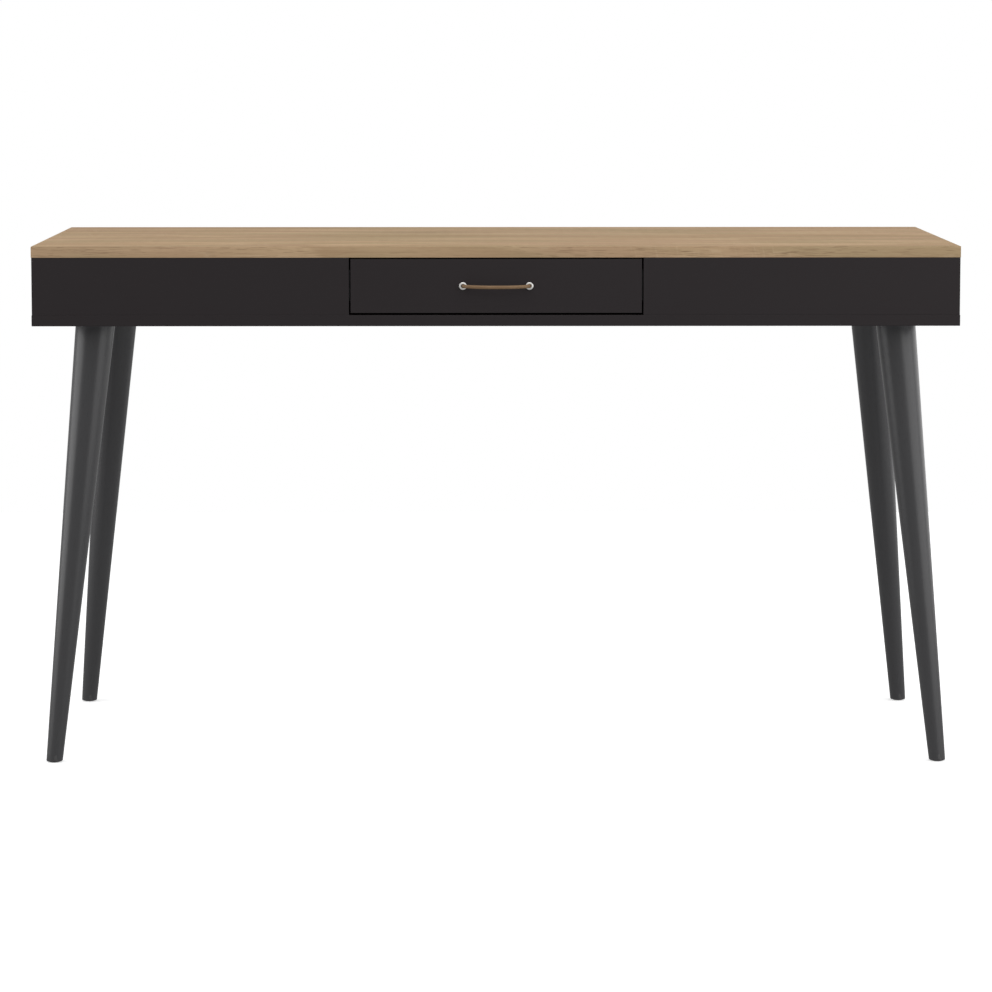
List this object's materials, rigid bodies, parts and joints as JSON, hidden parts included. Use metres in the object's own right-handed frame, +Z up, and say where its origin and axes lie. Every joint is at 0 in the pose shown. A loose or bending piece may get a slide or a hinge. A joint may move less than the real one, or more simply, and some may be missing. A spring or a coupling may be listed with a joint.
{
  "type": "writing desk",
  "caption": "Writing desk: oak-look top slab over a flat charcoal box with a flush centre drawer on telescopic slides, a leather cord pull, and round splayed tapered legs.",
  "frame": {"origin": "on the floor, under the middle of the desk top", "axes": "+X towards the right of a person sitting at the desk, +Y towards the back of the desk, +Z up; the drawer faces -Y"},
  "size_m": [1.34, 0.5743, 0.756],
  "materials": {
    "oak_laminate": "matte light oak grain laminate",
    "charcoal_board": "matte charcoal foil on board",
    "drawer_board": "matte dark grey foil on board",
    "fibreboard": "thin lacquered fibreboard",
    "leg_lacquer": "satin dark grey lacquer on turned wood",
    "zinc_steel": "zinc plated steel",
    "slide_steel": "black zinc plated rolled steel",
    "ball_steel": "polished steel",
    "cage_plastic": "natural grey plastic",
    "black_plastic": "matte black plastic",
    "nickel": "bright nickel plate",
    "cord_leather": "round natural brown leather cord",
    "beech_dowel": "raw beech"
  },
  "bodies": {
    "carcass": {"back_panel": "charcoal_board", "bottom_panel": "charcoal_board", "cabinet_slide_screws": "zinc_steel", "cam_bolts": "zinc_steel", "cam_locks": "zinc_steel", "desk_top": "oak_laminate", "divider_left": "charcoal_board", "divider_right": "charcoal_board", "dowels": "beech_dowel", "foot_glide_back_left": "black_plastic", "foot_glide_back_right": "black_plastic", "foot_glide_front_left": "black_plastic", "foot_glide_front_right": "black_plastic", "front_panel_left": "charcoal_board", "front_panel_right": "charcoal_board", "leg_back_left": "leg_lacquer", "leg_back_right": "leg_lacquer", "leg_front_left": "leg_lacquer", "leg_front_right": "leg_lacquer", "leg_plate_back_left": "zinc_steel", "leg_plate_back_right": "zinc_steel", "leg_plate_front_left": "zinc_steel", "leg_plate_front_right": "zinc_steel", "leg_plate_screws": "zinc_steel", "leg_studs": "zinc_steel", "side_panel_left": "charcoal_board", "side_panel_right": "charcoal_board", "slide_cabinet_member_left": "slide_steel", "slide_cabinet_member_right": "slide_steel"},
    "slide_middles": {"slide_middle_member_left": "slide_steel", "slide_middle_member_right": "slide_steel"},
    "outer_cages": {"ball_cage_outer_left": "cage_plastic", "ball_cage_outer_right": "cage_plastic", "slide_balls_outer": "ball_steel"},
    "inner_cages": {"ball_cage_inner_left": "cage_plastic", "ball_cage_inner_right": "cage_plastic", "slide_balls_inner": "ball_steel"},
    "drawer": {"drawer_front": "charcoal_board", "drawer_side_left": "drawer_board", "drawer_side_right": "drawer_board", "drawer_back": "drawer_board", "drawer_bottom": "fibreboard", "drawer_back_screws": "zinc_steel", "drawer_front_dowels": "beech_dowel", "drawer_slide_screws": "zinc_steel", "slide_drawer_member_left": "slide_steel", "slide_drawer_member_right": "slide_steel", "handle_eyelet_left": "nickel", "handle_eyelet_right": "nickel", "eyelet_washer_left": "nickel", "eyelet_washer_right": "nickel", "handle_cord": "cord_leather", "handle_knot_left": "cord_leather", "handle_knot_right": "cord_leather"}
  },
  "joints": [
    {"name": "drawer_slide", "type": "slide", "parent": "carcass", "child": "drawer", "axis": [0, -1, 0], "range_m": [0, 0.45]},
    {"name": "slide_middle_travel", "type": "slide", "parent": "carcass", "child": "slide_middles", "axis": [0, -1, 0], "range_m": [0, 0.225]},
    {"name": "outer_cage_travel", "type": "slide", "parent": "carcass", "child": "outer_cages", "axis": [0, -1, 0], "range_m": [0, 0.1125]},
    {"name": "inner_cage_travel", "type": "slide", "parent": "carcass", "child": "inner_cages", "axis": [0, -1, 0], "range_m": [0, 0.3375]}
  ],
  "couplings": [
    {"joint": "slide_middle_travel", "follows": "drawer_slide", "ratio": 0.5},
    {"joint": "outer_cage_travel", "follows": "drawer_slide", "ratio": 0.25},
    {"joint": "inner_cage_travel", "follows": "drawer_slide", "ratio": 0.75}
  ]
}
